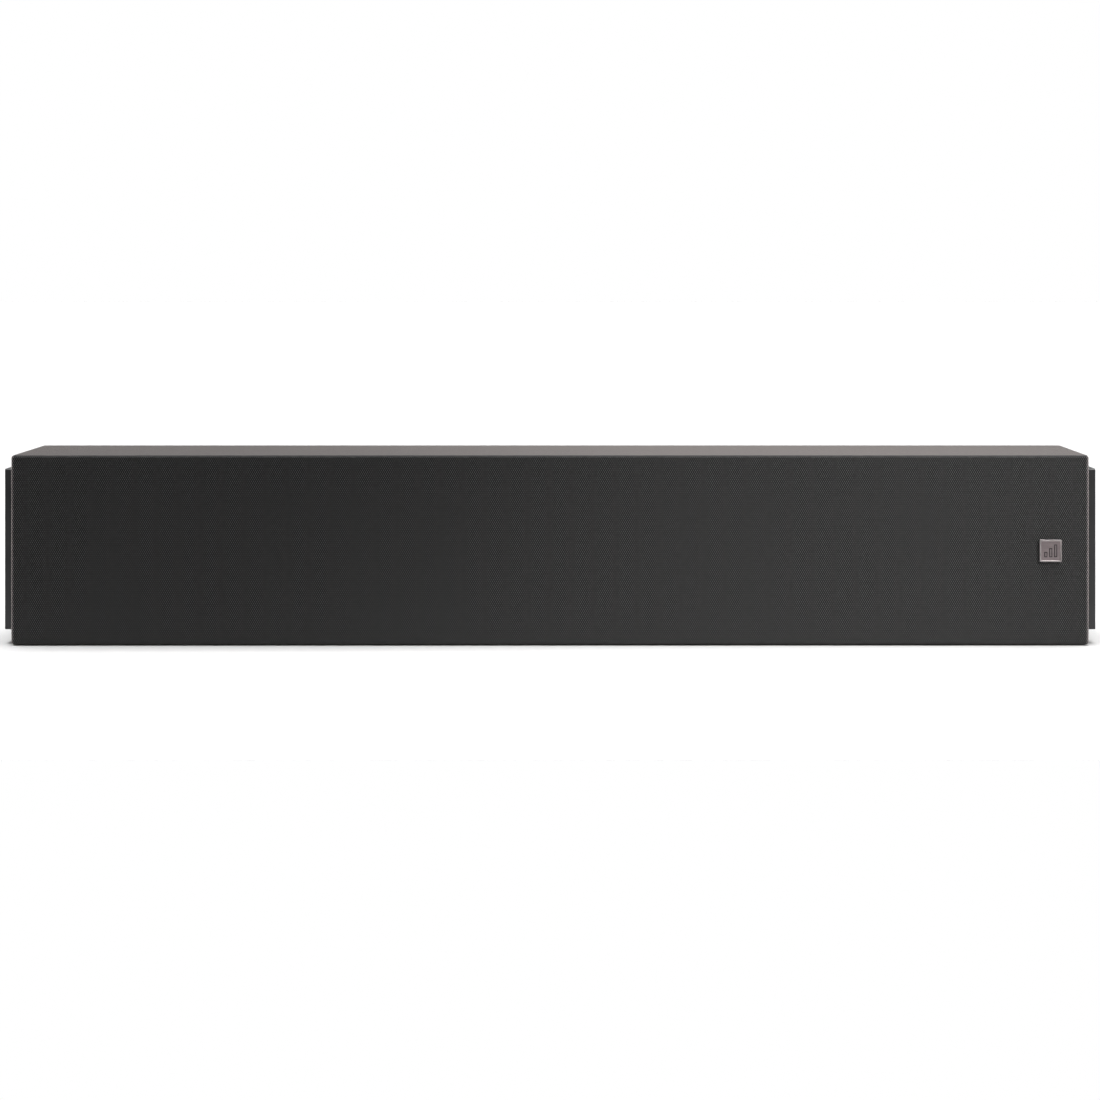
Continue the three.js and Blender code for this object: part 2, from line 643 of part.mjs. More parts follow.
// Cone, dust cap and coil former, which move as one.
function cone(name) {
  const edge = woofer.coneRadius;
  const profile = [
    [0, -8.5], [6, -9.2], [11, -11], [16, -13.6], [edge, -0.5], [edge, -1.7], [coilOuter, -16.9],
    [coilOuter, -34], [coilRadius, -34], [coilRadius, -13.4], [10.6, -11.9], [5.8, -10.2], [0, -9.5],
  ];
  return mesh(`${name}_cone`, turned(profile, woofer.segments), materials.cone);
}

// Half-roll of rubber from the cone's edge to the flange.
function surround(name) {
  const rollCentre = [40, 0.7];
  const profile = [
    [35.8, -1.5],
    ...arcPoints(rollCentre, 4.2, 180, 0, 3),
    [44.4, 1.1], [47, 1.1], [47, fitGap], [43.4, fitGap],
    ...arcPoints(rollCentre, 3.4, 0, 180, 3),
    [36.6, -1.5],
  ];
  return mesh(`${name}_surround`, turned(profile, woofer.segments), materials.rubber);
}

// Corrugated disc that centres the coil. Its outer edge is glued to the basket's ledge.
function spider(name) {
  const [inner, outer] = [coilOuter + fitGap, 30.6];
  const [level, thickness, wave] = [-22.6, 0.7, 0.9];
  const steps = 4;
  const line = Array.from({ length: steps + 1 }, (_, i) => {
    const ripple = i > 0 && i < steps - 1 ? (i % 2 ? 1 : -1) : 0;
    return [inner + ((outer - inner) * i) / steps, level + wave * ripple];
  });
  const under = line.map(([radius, height]) => [radius, height - thickness / 2]).reverse();
  const over = line.map(([radius, height]) => [radius, height + thickness / 2]);
  return mesh(`${name}_spider`, turned([...over, ...under], woofer.segments), materials.spiderCloth);
}

function wooferDriver(side, x) {
  const name = `${side}_woofer`;
  return driverGroup(x, [basket(name), motor(name), cone(name), surround(name), spider(name)]);
}

function tweeterDriver(side, x) {
  const name = `${side}_tweeter`;
  const { radius, domeRadius, segments } = tweeter;
  const faceplate = [
    [13.6, -5], [17, -4.2], [21, -2.6], [25, -0.6], [27, 0], [radius, 0], [radius, -flangeThickness],
    [22, -flangeThickness], [22, -9], [13.6, -9],
  ];
  const domeSkin = domeRadius - 0.5;
  const dome = [
    [0, -1.8], [4, -2.3], [8, -4], [11, -6.2], [domeRadius, -8.2], [domeRadius, -13], [domeSkin, -13],
    [domeSkin, -8.6], [10.6, -6.9], [7.7, -4.7], [3.9, -2.9], [0, -2.4],
  ];
  const back = [
    [0, -9.3], [12, -9.3], [12, -14.5], [13.3, -14.5], [13.3, -9.3], [19, -9.3], [19, -26], [0, -26],
  ];
  return driverGroup(x, [
    mesh(`${name}_faceplate`, turned(faceplate, segments), materials.frameBlack),
    mesh(`${name}_dome`, turned(dome, segments), materials.domeMetal),
    mesh(`${name}_motor`, turned(back, segments), materials.motorSteel),
  ]);
}

// The assembly.

const soundbar = new THREE.Group();

soundbar.add(
  grilleCloth(),
  grilleFrame(),
  frontBadge(),
  frontBaffle(),
  enclosureShell(),
  endCap('left_end_cap', -1),
  endCap('right_end_cap', 1),
  rearCover(),
  connectionTray(),
  rearGasket(),
  rearHeatSink(),
  wallHanger('left_wall_hanger', -hangerX),
  wallHanger('right_wall_hanger', hangerX),
  ...feet(),
  ...Object.entries(buttonX).map(([name, x]) => pushButton(name, x)),
  amplifierBoard(),
  powerBoard(),
  powerTransformer(),
  controlBoard(),
  mainsInlet(),
  tongueSocket('av_socket', sockets.av_socket, [14, 4.8],
    { width: 11, thickness: 1.2, offset: 0 }),
  tongueSocket('service_socket', sockets.service_socket, [12.6, 5.4],
    { width: 11, thickness: 1.8, offset: 1.2 }),
  networkSocket(),
  subOutJack(),
  ...Object.entries(wooferX).map(([side, x]) => wooferDriver(side, x)),
  ...Object.entries(tweeterX).map(([side, x]) => tweeterDriver(side, x)),
);

export default soundbar;
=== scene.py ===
import json
import math

import bmesh
import bpy
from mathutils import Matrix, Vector


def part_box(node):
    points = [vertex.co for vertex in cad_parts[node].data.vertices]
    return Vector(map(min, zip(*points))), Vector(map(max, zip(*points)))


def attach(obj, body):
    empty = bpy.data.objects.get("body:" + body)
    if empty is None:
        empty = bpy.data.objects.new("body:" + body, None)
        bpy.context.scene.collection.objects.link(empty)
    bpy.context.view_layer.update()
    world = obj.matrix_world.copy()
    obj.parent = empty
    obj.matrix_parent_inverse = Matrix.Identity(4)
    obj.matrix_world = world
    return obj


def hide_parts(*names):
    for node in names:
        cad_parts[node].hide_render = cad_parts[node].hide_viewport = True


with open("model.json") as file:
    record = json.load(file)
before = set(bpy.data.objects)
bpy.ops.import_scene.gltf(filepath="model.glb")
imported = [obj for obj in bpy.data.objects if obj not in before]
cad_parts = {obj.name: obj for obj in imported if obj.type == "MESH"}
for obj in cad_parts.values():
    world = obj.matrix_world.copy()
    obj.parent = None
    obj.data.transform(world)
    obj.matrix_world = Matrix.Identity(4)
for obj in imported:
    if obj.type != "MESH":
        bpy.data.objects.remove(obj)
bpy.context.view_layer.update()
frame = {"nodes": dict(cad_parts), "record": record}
mm = 0.001
closeEnough = 0.01 * mm

clothLow, clothHigh = (Vector(corner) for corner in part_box("grille_cloth"))
clothSize = clothHigh - clothLow
clothMiddle = (clothLow + clothHigh) / 2


# helpers for the modelling below

def deselectAll():
    if bpy.context.object and bpy.context.object.mode != "OBJECT":
        bpy.ops.object.mode_set(mode="OBJECT")
    bpy.ops.object.select_all(action="DESELECT")


def makeActive(piece):
    deselectAll()
    piece.select_set(True)
    bpy.context.view_layer.objects.active = piece


def startBox(name, low, high):
    deselectAll()
    low, high = Vector(low), Vector(high)
    bpy.ops.mesh.primitive_cube_add(size=1, location=(low + high) / 2)
    piece = bpy.context.object
    piece.name = piece.data.name = name
    piece.scale = high - low
    bpy.ops.object.transform_apply(location=True, rotation=True, scale=True)
    return piece


def startRod(name, centre, radius, length, axis="Y", sides=48):
    turn = {"X": (0, math.pi / 2, 0), "Y": (math.pi / 2, 0, 0), "Z": (0, 0, 0)}[axis]
    deselectAll()
    bpy.ops.mesh.primitive_cylinder_add(vertices=sides, radius=radius, depth=length,
                                        location=centre, rotation=turn)
    piece = bpy.context.object
    piece.name = piece.data.name = name
    bpy.ops.object.transform_apply(location=True, rotation=True, scale=True)
    return piece


def editWith(piece, faces=None, edges=None):
    # goes into edit mode with only the faces or edges that pass the test selected
    makeActive(piece)
    bpy.ops.object.mode_set(mode="EDIT")
    bpy.ops.mesh.select_all(action="DESELECT")
    bpy.ops.mesh.select_mode(type="FACE" if faces else "EDGE")
    work = bmesh.from_edit_mesh(piece.data)
    if faces:
        for face in work.faces:
            face.select_set(bool(faces(face)))
    if edges:
        for edge in work.edges:
            edge.select_set(bool(edges(edge)))
    bmesh.update_edit_mesh(piece.data)


def stopEdit():
    bpy.ops.object.mode_set(mode="OBJECT")


squarely = 0.99  # cosine above which a direction counts as an axis's own


def alongAxis(edge, axis):
    run = edge.verts[1].co - edge.verts[0].co
    return abs(run[axis]) > squarely * run.length


def facesTo(face, axis, sign):
    return face.normal[axis] * sign > squarely


def applyAll(piece):
    makeActive(piece)
    for modifier in list(piece.modifiers):
        bpy.ops.object.modifier_apply(modifier=modifier.name)


def smoothPiece(piece, degrees=35):
    # smooth across shallow edges, with the large flat faces kept flat
    makeActive(piece)
    bpy.ops.object.shade_smooth_by_angle(angle=math.radians(degrees))
    weighted = piece.modifiers.new("flatFacesFirst", "WEIGHTED_NORMAL")
    weighted.mode = "FACE_AREA"
    weighted.weight = 100
    weighted.keep_sharp = True
    applyAll(piece)


def joinPieces(first, *others):
    deselectAll()
    for other in others:
        other.select_set(True)
    first.select_set(True)
    bpy.context.view_layer.objects.active = first
    bpy.ops.object.join()
    return first


def copyPiece(piece, name, move):
    deselectAll()
    made = piece.copy()
    made.data = piece.data.copy()
    made.name = made.data.name = name
    bpy.context.collection.objects.link(made)
    made.location = move
    makeActive(made)
    bpy.ops.object.transform_apply(location=True, rotation=True, scale=True)
    return made


def paint(piece, material):
    piece.data.materials.clear()
    piece.data.materials.append(material)


def place(piece, body, *nodes, slot=None):
    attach(piece, body)
    if nodes:
        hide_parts(*nodes)


softening = {
    "mergeWithin": 0.02 * mm,
    "flatWithin": 2,  # degrees between faces that are taken as one flat face
    "sharpFrom": 40,  # degrees between faces whose edge is rounded
    "segments": 2,
}


def softenedCopy(node, width):
    # a copy of a CAD node whose edges are broken by a small round
    source = frame["nodes"][node]
    deselectAll()
    piece = source.copy()
    piece.data = source.data.copy()
    piece.parent = None
    piece.name = piece.data.name = node + "_finished"
    for tag in [key for key in piece.keys() if key.startswith("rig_")]:
        del piece[tag]
    bpy.context.collection.objects.link(piece)
    makeActive(piece)
    bpy.ops.object.mode_set(mode="EDIT")
    bpy.ops.mesh.select_all(action="SELECT")
    bpy.ops.mesh.remove_doubles(threshold=softening["mergeWithin"])
    bpy.ops.mesh.dissolve_limited(angle_limit=math.radians(softening["flatWithin"]))
    stopEdit()
    bevel = piece.modifiers.new("brokenEdges", "BEVEL")
    bevel.width = width
    bevel.segments = softening["segments"]
    bevel.limit_method = "ANGLE"
    bevel.angle_limit = math.radians(softening["sharpFrom"])
    bevel.use_clamp_overlap = True
    applyAll(piece)
    smoothPiece(piece)
    return piece


# camera, floor and light

view = {
    "cameraPlace": (0.0276, clothLow.y - 1.889, 0.2807),
    "sensor": 36,
    "lens": 81.8,
    "shiftX": -0.0332,
    "shiftY": -0.2505,
    "clip": (0.05, 60),
}

light = {
    "sky": 0.08,
    "skyBehind": 1.0,  # the sky as the camera sees it
    "sunStrength": 7.9,
    "sunSpread": 38,
    "sunLean": (-0.02, -0.03),  # how far it stands to the right and in front of straight above, as slopes
    "keyEnergy": 112,
    "keyPlace": (1.15, -1.05, 1.0),
    "keyAim": (0.27, -0.056, 0.12),
    "keyCone": 24,
    "keyRadius": 0.10,
    "keyColour": (1, 0.985, 0.97),
    "fillEnergy": 0.98,
    "fillSpread": 50,
    "fillLean": (0.1, 0.08),  # to the right and up, as slopes of rays that come from the front
    "rimEnergy": 0.06,
    "rimSpread": 30,
    "rimRise": 0.42,  # slope of the rim light's rays, which come from behind
    "glowEnergy": 0.08,
    "glowSize": (0.96, 0.06),  # the brightly lit strip of floor along the bar's front
    "glowHeight": 0.5 * mm,
}


def makeCamera():
    data = bpy.data.cameras.new("productCamera")
    camera = bpy.data.objects.new("productCamera", data)
    bpy.context.collection.objects.link(camera)
    camera.location = view["cameraPlace"]
    camera.rotation_euler = (math.pi / 2, 0, 0)  # level, looking along +Y
    data.sensor_width = view["sensor"]
    data.lens = view["lens"]
    data.shift_x = view["shiftX"]
    data.shift_y = view["shiftY"]
    data.clip_start, data.clip_end = view["clip"]
    bpy.context.scene.camera = camera


def aim(lamp, target):
    lamp.rotation_euler = (Vector(target) - lamp.location).to_track_quat("-Z", "Y").to_euler()


def addLamp(name, kind, energy, spot):
    data = bpy.data.lights.new(name, kind)
    data.energy = energy
    lamp = bpy.data.objects.new(name, data)
    bpy.context.collection.objects.link(lamp)
    lamp.location = spot
    return lamp


def makeSun(name, strength, spreadDegrees, direction):
    sun = addLamp(name, "SUN", strength, direction)
    sun.data.angle = math.radians(spreadDegrees)
    aim(sun, (0, 0, 0))
    return sun


def makeSky():
    world = bpy.data.worlds.new("studio")
    bpy.context.scene.world = world
    world.use_nodes = True
    tree = world.node_tree
    sky = tree.nodes["Background"]
    sky.inputs["Strength"].default_value = light["sky"]
    sky.inputs["Color"].default_value = (1, 1, 1, 1)
    behind = tree.nodes.new("ShaderNodeBackground")
    behind.inputs["Strength"].default_value = light["skyBehind"]
    behind.inputs["Color"].default_value = (1, 1, 1, 1)
    rays = tree.nodes.new("ShaderNodeLightPath")
    mix = tree.nodes.new("ShaderNodeMixShader")
    tree.links.new(rays.outputs["Is Camera Ray"], mix.inputs["Fac"])
    tree.links.new(sky.outputs[0], mix.inputs[1])
    tree.links.new(behind.outputs[0], mix.inputs[2])
    tree.links.new(mix.outputs[0], tree.nodes["World Output"].inputs["Surface"])


def makeLights():
    right, front = light["sunLean"]
    makeSun("overhead", light["sunStrength"], light["sunSpread"], (right, -front, 1))
    right, up = light["fillLean"]
    fill = makeSun("frontFill", light["fillEnergy"], light["fillSpread"], (right, -1, up))
    fill.visible_glossy = False
    makeSun("rim", light["rimEnergy"], light["rimSpread"], (0, 1, light["rimRise"]))

    glow = addLamp("floorGlow", "AREA", light["glowEnergy"],
                   (0, clothLow.y - light["glowSize"][1] / 2, light["glowHeight"]))
    glow.data.shape = "RECTANGLE"
    glow.data.size, glow.data.size_y = light["glowSize"]
    glow.rotation_euler = (math.pi, 0, 0)  # shines upwards
    glow.visible_camera = False

    key = addLamp("keyPool", "SPOT", light["keyEnergy"], light["keyPlace"])
    key.data.spot_size = math.radians(light["keyCone"])
    key.data.spot_blend = 1.0
    key.data.shadow_soft_size = light["keyRadius"]
    key.data.color = light["keyColour"]
    aim(key, light["keyAim"])


floorLook = {
    "size": 24,
    "front": 0.5,  # how far the floor goes on in front of the bar
    "seen": (0.44, 0.44, 0.44),
    "bounce": (0.24, 0.236, 0.232),  # greyer than it looks, so the front stays darker than the top
    "roughness": 0.8,
    "specular": 0.2,
}


def makeFloor():
    deselectAll()
    bpy.ops.mesh.primitive_plane_add(size=floorLook["size"],
                                     location=(0, floorLook["size"] / 2 - floorLook["front"], 0))
    floor = bpy.context.object
    floor.name = "floor"
    material = bpy.data.materials.new("paleFloor")
    material.use_nodes = True
    tree = material.node_tree
    shader = tree.nodes["Principled BSDF"]
    rays = tree.nodes.new("ShaderNodeLightPath")
    tone = tree.nodes.new("ShaderNodeMix")
    tone.data_type = "RGBA"
    tone.inputs["A"].default_value = (*floorLook["bounce"], 1)
    tone.inputs["B"].default_value = (*floorLook["seen"], 1)
    direct = tree.nodes.new("ShaderNodeMath")
    direct.operation = "MAXIMUM"
    tree.links.new(rays.outputs["Is Camera Ray"], direct.inputs[0])
    tree.links.new(rays.outputs["Is Glossy Ray"], direct.inputs[1])
    tree.links.new(direct.outputs[0], tone.inputs["Factor"])
    tree.links.new(tone.outputs["Result"], shader.inputs["Base Color"])
    shader.inputs["Roughness"].default_value = floorLook["roughness"]
    shader.inputs["Specular IOR Level"].default_value = floorLook["specular"]
    paint(floor, material)


makeCamera()
makeFloor()
makeSky()
makeLights()
bpy.context.scene.view_settings.view_transform = "Standard"
print("camera, floor and light are set")


# materials

def newMaterial(name, roughness, metallic=0.0):
    material = bpy.data.materials.new(name)
    material.use_nodes = True
    tree = material.node_tree
    shader = tree.nodes["Principled BSDF"]
    shader.inputs["Roughness"].default_value = roughness
    shader.inputs["Metallic"].default_value = metallic
    return material, tree, shader


def addNode(tree, kind, **values):
    node = tree.nodes.new(kind)
    for key, value in values.items():
        setattr(node, key, value)
    return node


def mathNode(tree, operation, first, second=None, clamp=False):
    node = addNode(tree, "ShaderNodeMath", operation=operation, use_clamp=clamp)
    for index, value in enumerate((first, second)):
        if value is None:
            continue
        if isinstance(value, (int, float)):
            node.inputs[index].default_value = value
        else:
            tree.links.new(value, node.inputs[index])
    return node.outputs[0]


def mixColour(tree, factor, dark, bright):
    mix = addNode(tree, "ShaderNodeMix", data_type="RGBA")
    tree.links.new(factor, mix.inputs["Factor"])
    for socket, value in ((mix.inputs["A"], dark), (mix.inputs["B"], bright)):
        if isinstance(value, tuple):
            socket.default_value = (*value, 1)
        else:
            tree.links.new(value, socket)
    return mix.outputs["Result"]


def noiseOn(tree, vector, scale, detail=2.0, roughness=0.5):
    noise = addNode(tree, "ShaderNodeTexNoise")
    noise.inputs["Scale"].default_value = scale
    noise.inputs["Detail"].default_value = detail
    noise.inputs["Roughness"].default_value = roughness
    tree.links.new(vector, noise.inputs["Vector"])
    return noise.outputs["Fac"]


def spread(tree, value, low, high, to=(0.0, 1.0)):
    node = addNode(tree, "ShaderNodeMapRange")
    tree.links.new(value, node.inputs["Value"])
    for name, number in zip(("From Min", "From Max", "To Min", "To Max"), (low, high, *to)):
        node.inputs[name].default_value = number
    return node.outputs["Result"]


noiseRange = (0.3, 0.7)  # where nearly all of a noise texture's values lie


def bumpFrom(tree, shader, height, strength, distance):
    bump = addNode(tree, "ShaderNodeBump")
    bump.inputs["Strength"].default_value = strength
    bump.inputs["Distance"].default_value = distance
    tree.links.new(height, bump.inputs["Height"])
    tree.links.new(bump.outputs["Normal"], shader.inputs["Normal"])


def objectCoordinates(tree):
    return addNode(tree, "ShaderNodeTexCoord").outputs["Object"]


plasticTone = {
    "patches": 35,  # scale of the broad unevenness
    "grainShare": 0.4,
    "range": (0.45, 0.95),
    "gloss": 0.05,
}

metalTone = {
    "darkest": 0.82,
    "gloss": (-0.06, 0.08),
}


def mouldedPlastic(name, colour, roughness, grain=2600, depth=0.00006, strength=0.35, variation=0.25):
    # plastic with a fine spark-eroded grain, a little uneven in tone and gloss
    material, tree, shader = newMaterial(name, roughness)
    place = objectCoordinates(tree)
    fine = noiseOn(tree, place, grain, 3)
    broad = noiseOn(tree, place, plasticTone["patches"], 3)
    darker = tuple(channel * (1 - variation) for channel in colour)
    lighter = tuple(channel * (1 + variation) for channel in colour)
    both = mathNode(tree, "ADD", mathNode(tree, "MULTIPLY", fine, plasticTone["grainShare"]), broad)
    tone = spread(tree, both, *plasticTone["range"])
    tree.links.new(mixColour(tree, tone, darker, lighter), shader.inputs["Base Color"])
    gloss = (roughness - plasticTone["gloss"], roughness + plasticTone["gloss"])
    tree.links.new(spread(tree, broad, *noiseRange, gloss), shader.inputs["Roughness"])
    bumpFrom(tree, shader, fine, strength, depth)
    return material


def metalFinish(name, colour, roughness, grain=(40, 40, 1400), depth=0.00002, strength=0.3):
    # metal brushed along one direction: the grain is stretched by its three scales
    material, tree, shader = newMaterial(name, roughness, 1.0)
    mapping = addNode(tree, "ShaderNodeMapping")
    mapping.inputs["Scale"].default_value = grain
    tree.links.new(objectCoordinates(tree), mapping.inputs["Vector"])
    brushed = noiseOn(tree, mapping.outputs["Vector"], 1.0, 4, 0.6)
    darker = tuple(channel * metalTone["darkest"] for channel in colour)
    tone = spread(tree, brushed, *noiseRange)
    tree.links.new(mixColour(tree, tone, darker, colour), shader.inputs["Base Color"])
    gloss = tuple(roughness + change for change in metalTone["gloss"])
    tree.links.new(spread(tree, brushed, *noiseRange, gloss), shader.inputs["Roughness"])
    bumpFrom(tree, shader, brushed, strength, depth)
    return material


knit = {
    "acrossPitch": 1.584 * mm,  # one stitch
    "rowPitch": 2.80 * mm,  # two rows, which are staggered
    "yarn": (0.0935, 0.095, 0.095),
    # the painted highlight's yarn colour, used in the band along the vertical edges
    "highlightYarn": (0.62, 0.57, 0.565),
    "pit": (0.002, 0.002, 0.0022),
    "loopSharpness": 3.0,
    "fibres": 0.25,
    "fibreScale": 2200,
    "heather": 0.25,
    "heatherScale": 420,
    "highlightBand": 2.4 * mm,  # painted highlight: a band along the vertical edges where the yarn is made much lighter, standing in for the light that the rounded edges catch
    "roughness": 0.92,
    "specular": 0.25,
    "sheen": 0.72,
    "sheenRoughness": 0.32,
    "sheenTint": (0.95, 0.845, 0.815, 1),
    "bump": 0.22 * mm,
    "bumpStrength": 0.5,
}


def knittedCloth():
    # hexagonal warp knit: two families of ribs, each 60 degrees from level, with a dark pit between loops
    material, tree, shader = newMaterial("charcoalKnit", knit["roughness"])
    flat = addNode(tree, "ShaderNodeUVMap", uv_map="clothFlat")
    split = addNode(tree, "ShaderNodeSeparateXYZ")
    tree.links.new(flat.outputs["UV"], split.inputs["Vector"])
    across = mathNode(tree, "MULTIPLY", split.outputs["X"], 2 * math.pi / knit["acrossPitch"])
    up = mathNode(tree, "MULTIPLY", split.outputs["Y"], 2 * math.pi / knit["rowPitch"])
    rising = mathNode(tree, "COSINE", mathNode(tree, "ADD", across, up))
    falling = mathNode(tree, "COSINE", mathNode(tree, "SUBTRACT", across, up))
    loops = spread(tree, mathNode(tree, "ADD", rising, falling), -2, 2)
    fibres = noiseOn(tree, flat.outputs["UV"], knit["fibreScale"], 2)
    heather = noiseOn(tree, flat.outputs["UV"], knit["heatherScale"], 1)
    height = mathNode(tree, "ADD", loops, mathNode(tree, "MULTIPLY", fibres, knit["fibres"]))
    dots = mathNode(tree, "POWER", loops, knit["loopSharpness"])
    uneven = spread(tree, heather, *noiseRange, (1 - knit["heather"], 1 + knit["heather"]))
    frayed = spread(tree, fibres, *noiseRange, (1 - knit["fibres"], 1 + knit["fibres"]))
    fromMiddle = mathNode(tree, "ABSOLUTE", split.outputs["X"])
    fromEdge = mathNode(tree, "ABSOLUTE", mathNode(tree, "SUBTRACT", fromMiddle, clothSize.x / 2))
    # painted highlight: the yarn turns lighter near the vertical edges, where the rounded edges catch the light
    paintedHighlight = spread(tree, fromEdge, knit["highlightBand"], 0)
    tone = mathNode(tree, "MULTIPLY", mathNode(tree, "MULTIPLY", dots, uneven), frayed)
    yarn = mixColour(tree, paintedHighlight, knit["yarn"], knit["highlightYarn"])
    tree.links.new(mixColour(tree, tone, knit["pit"], yarn), shader.inputs["Base Color"])
    shader.inputs["Specular IOR Level"].default_value = knit["specular"]
    shader.inputs["Sheen Weight"].default_value = knit["sheen"]
    shader.inputs["Sheen Roughness"].default_value = knit["sheenRoughness"]
    shader.inputs["Sheen Tint"].default_value = knit["sheenTint"]
    bumpFrom(tree, shader, height, knit["bumpStrength"], knit["bump"])
    return material


finishes = {
    "cloth": knittedCloth(),
    "cap": mouldedPlastic("satinBlackPlastic", (0.012, 0.012, 0.0125), 0.42),
    "case": mouldedPlastic("textureBlackPlastic", (0.022, 0.022, 0.023), 0.6, grain=1500, depth=0.00012,
                           strength=0.5),
    "button": mouldedPlastic("greyButtonPlastic", (0.055, 0.055, 0.058), 0.5),
    "badge": metalFinish("brushedBadge", (0.28, 0.237, 0.242), 0.42, grain=(60, 60, 2600), strength=0.15),
    "badgeRim": metalFinish("polishedBadgeRim", (0.46, 0.42, 0.42), 0.34, grain=(400, 400, 400), strength=0.1),
    "sign": mouldedPlastic("greySignPaint", (0.36, 0.36, 0.37), 0.55, variation=0.08),
    "contact": metalFinish("goldContact", (0.78, 0.56, 0.22), 0.28, grain=(500, 500, 500), strength=0.1),
    "insulator": mouldedPlastic("violetInsulator", (0.16, 0.05, 0.20), 0.45),
    "screw": metalFinish("blackZincScrew", (0.06, 0.06, 0.063), 0.36, grain=(500, 500, 500), strength=0.2),
    "badgeInk": mouldedPlastic("darkBadgeInk", (0.010, 0.007, 0.008), 0.7),
    "rubber": mouldedPlastic("footRubber", (0.014, 0.014, 0.014), 0.85, grain=900, depth=0.0001, strength=0.4),
    "foam": mouldedPlastic("gasketFoam", (0.012, 0.012, 0.012), 0.95, grain=700, depth=0.0003, strength=0.8),
    "zinc": metalFinish("zincSteel", (0.30, 0.305, 0.315), 0.42, grain=(900, 900, 900), strength=0.12),
    "anodised": metalFinish("blackAnodised", (0.030, 0.031, 0.034), 0.45, grain=(900, 30, 30)),
    "paintedSteel": mouldedPlastic("blackPaintedSteel", (0.03, 0.03, 0.032), 0.45, grain=400, depth=0.0001),
    "motor": metalFinish("motorSteel", (0.22, 0.222, 0.23), 0.4, grain=(200, 900, 200)),
    "cone": mouldedPlastic("coatedPaper", (0.030, 0.031, 0.035), 0.62, grain=500, depth=0.0003, strength=0.5),
    "spider": mouldedPlastic("dippedCloth", (0.42, 0.25, 0.09), 0.9, grain=1800, depth=0.0002, strength=0.6),
    "dome": metalFinish("aluminiumDome", (0.70, 0.71, 0.72), 0.22, grain=(300, 300, 300), strength=0.1),
    "board": mouldedPlastic("greenBoard", (0.010, 0.085, 0.035), 0.4, grain=350, depth=0.00005, variation=0.5),
    "core": mouldedPlastic("ferriteCore", (0.05, 0.052, 0.055), 0.5, grain=900),
    "socketBlack": mouldedPlastic("socketBlack", (0.010, 0.010, 0.010), 0.35),
    "socketShell": metalFinish("socketShell", (0.50, 0.505, 0.51), 0.34, grain=(1600, 1600, 1600),
                               strength=0.1),
}

slotFinish = {
    "frame_black": "case", "baffle_black": "case", "case_black": "case", "end_cap_black": "cap",
    "foot_rubber": "rubber", "gasket_foam": "foam", "plate_steel": "zinc", "sink_aluminium": "anodised",
    "basket_steel": "paintedSteel", "motor_steel": "motor", "cone_paper": "cone", "surround_rubber": "rubber",
    "spider_cloth": "spider", "dome_metal": "dome", "tweeter_plate": "cap", "circuit_board": "board",
    "transformer_core": "core", "socket_black": "socketBlack", "socket_metal": "socketShell",
    "button_black": "button", "badge_metal": "badge", "grille_cloth": "cloth",
}

slotOfNode = {part["node"]: part["material_slot"] for part in frame["record"]["subparts"]}
for nodeName, node in frame["nodes"].items():
    paint(node, finishes[slotFinish[slotOfNode[nodeName]]])
print("materials are made")


# the cloth

sleeve = {
    "radius": 2.1 * mm,
    "radiusSegments": 6,
    "hem": 16 * mm,  # from the outside edge to where the cloth ends under the caps and the rear cover
    "thickness": 1 * mm,
    "cutSize": (0.847, 0.40),
    "wallArea": 0.002,  # the walls are larger than this, and the rounded edges' faces smaller
}


def wrapLength(offset, depth, half):
    # length along the cloth from the middle of the front, going round an edge to the back
    radius, far = sleeve["radius"], clothSize.y
    flat = half - radius
    quarter = radius * math.pi / 2
    if depth > far - radius:
        angle = math.atan2(depth - (far - radius), max(offset - flat, 0.0) + 1e-9)
        if offset > flat:
            return flat + quarter + far - 2 * radius + radius * angle
        return flat + 2 * quarter + far - 2 * radius + (flat - offset)
    if depth >= radius:
        return flat + quarter + depth - radius
    if offset <= flat:
        return offset
    return flat + radius * math.atan2(offset - flat, radius - depth)


def flattenCloth(piece):
    # gives each face corner its place on the flat cloth, in metres
    piece.data.uv_layers.active = piece.data.uv_layers.new(name="clothFlat")
    for old in [other for other in piece.data.uv_layers if other.name != "clothFlat"]:
        piece.data.uv_layers.remove(old)
    layer = piece.data.uv_layers["clothFlat"]
    halfX, halfZ = clothSize.x / 2, clothSize.z / 2
    for face in piece.data.polygons:
        middle = face.center - clothMiddle
        nearEnd = halfX - abs(middle.x) < min(halfZ - abs(middle.z), sleeve["hem"])
        roundEnd = nearEnd and face.normal.y > -0.999  # the flat front is never part of an end
        for corner in face.loop_indices:
            spot = piece.data.vertices[piece.data.loops[corner].vertex_index].co
            x, z, depth = spot.x - clothMiddle.x, spot.z - clothMiddle.z, spot.y - clothLow.y
            if roundEnd:
                u, v = math.copysign(wrapLength(abs(x), depth, halfX), middle.x), z
            else:
                u, v = x, math.copysign(wrapLength(abs(z), depth, halfZ), z)
            layer.data[corner].uv = (u, v)


def makeCloth():
    piece = startBox("grilleSleeve", clothLow, clothHigh)
    editWith(piece, edges=lambda edge: True)
    bpy.ops.mesh.bevel(offset=sleeve["radius"], segments=sleeve["radiusSegments"], affect="EDGES")
    stopEdit()
    inset = sleeve["hem"] - sleeve["radius"]
    for axis, sign in ((0, 1), (0, -1), (1, 1)):
        editWith(piece, faces=lambda face: facesTo(face, axis, sign) and face.calc_area() > sleeve["wallArea"])
        bpy.ops.mesh.inset(thickness=inset)
        bpy.ops.mesh.delete(type="FACE")
        stopEdit()
    flattenCloth(piece)
    wall = piece.modifiers.new("clothThickness", "SOLIDIFY")
    wall.thickness = sleeve["thickness"]
    wall.offset = -1
    applyAll(piece)
    smoothPiece(piece, 40)
    paint(piece, finishes["cloth"])
    place(piece, "cabinet", "grille_cloth", slot="grille_cloth")


makeCloth()
print("the cloth is stretched")


# end caps

